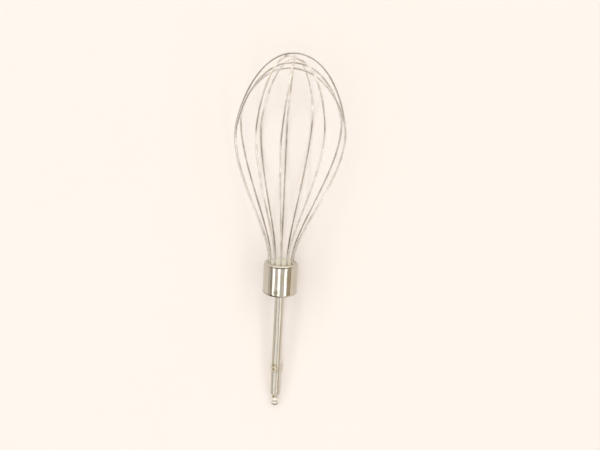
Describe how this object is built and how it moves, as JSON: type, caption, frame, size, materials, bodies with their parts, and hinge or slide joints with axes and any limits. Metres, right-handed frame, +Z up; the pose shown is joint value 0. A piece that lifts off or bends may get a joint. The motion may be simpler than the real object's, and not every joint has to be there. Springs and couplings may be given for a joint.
{
  "type": "mixer whisk",
  "caption": "Balloon whisk for an electric hand mixer: nested bent wire loops in a moulded plug with a metal ferrule, and a drive shank with pinched lugs and a ball tip.",
  "frame": {"origin": "on the floor, below the middle of the bounding box", "axes": "+Z up; the whisk lies along +Y, shank towards -Y and wire cage towards +Y, its axis raised about 9 degrees towards the cage; +X to the right seen from the shank"},
  "size_m": [0.0594, 0.1938, 0.056],
  "materials": {
    "wire": "bright drawn stainless wire",
    "plug_plastic": "pale beige moulded plastic, satin",
    "ferrule_metal": "polished drawn metal, with fine lengthwise marks",
    "shank_metal": "satin plated rod, rubbed at the lugs"
  },
  "bodies": {
    "root": {"wire_loop_1": "wire", "wire_loop_2": "wire", "wire_loop_3": "wire", "wire_loop_4": "wire", "wire_loop_5": "wire", "wire_loop_6": "wire", "wire_holder": "plug_plastic", "ferrule": "ferrule_metal", "shaft": "shank_metal"}
  },
  "joints": []
}
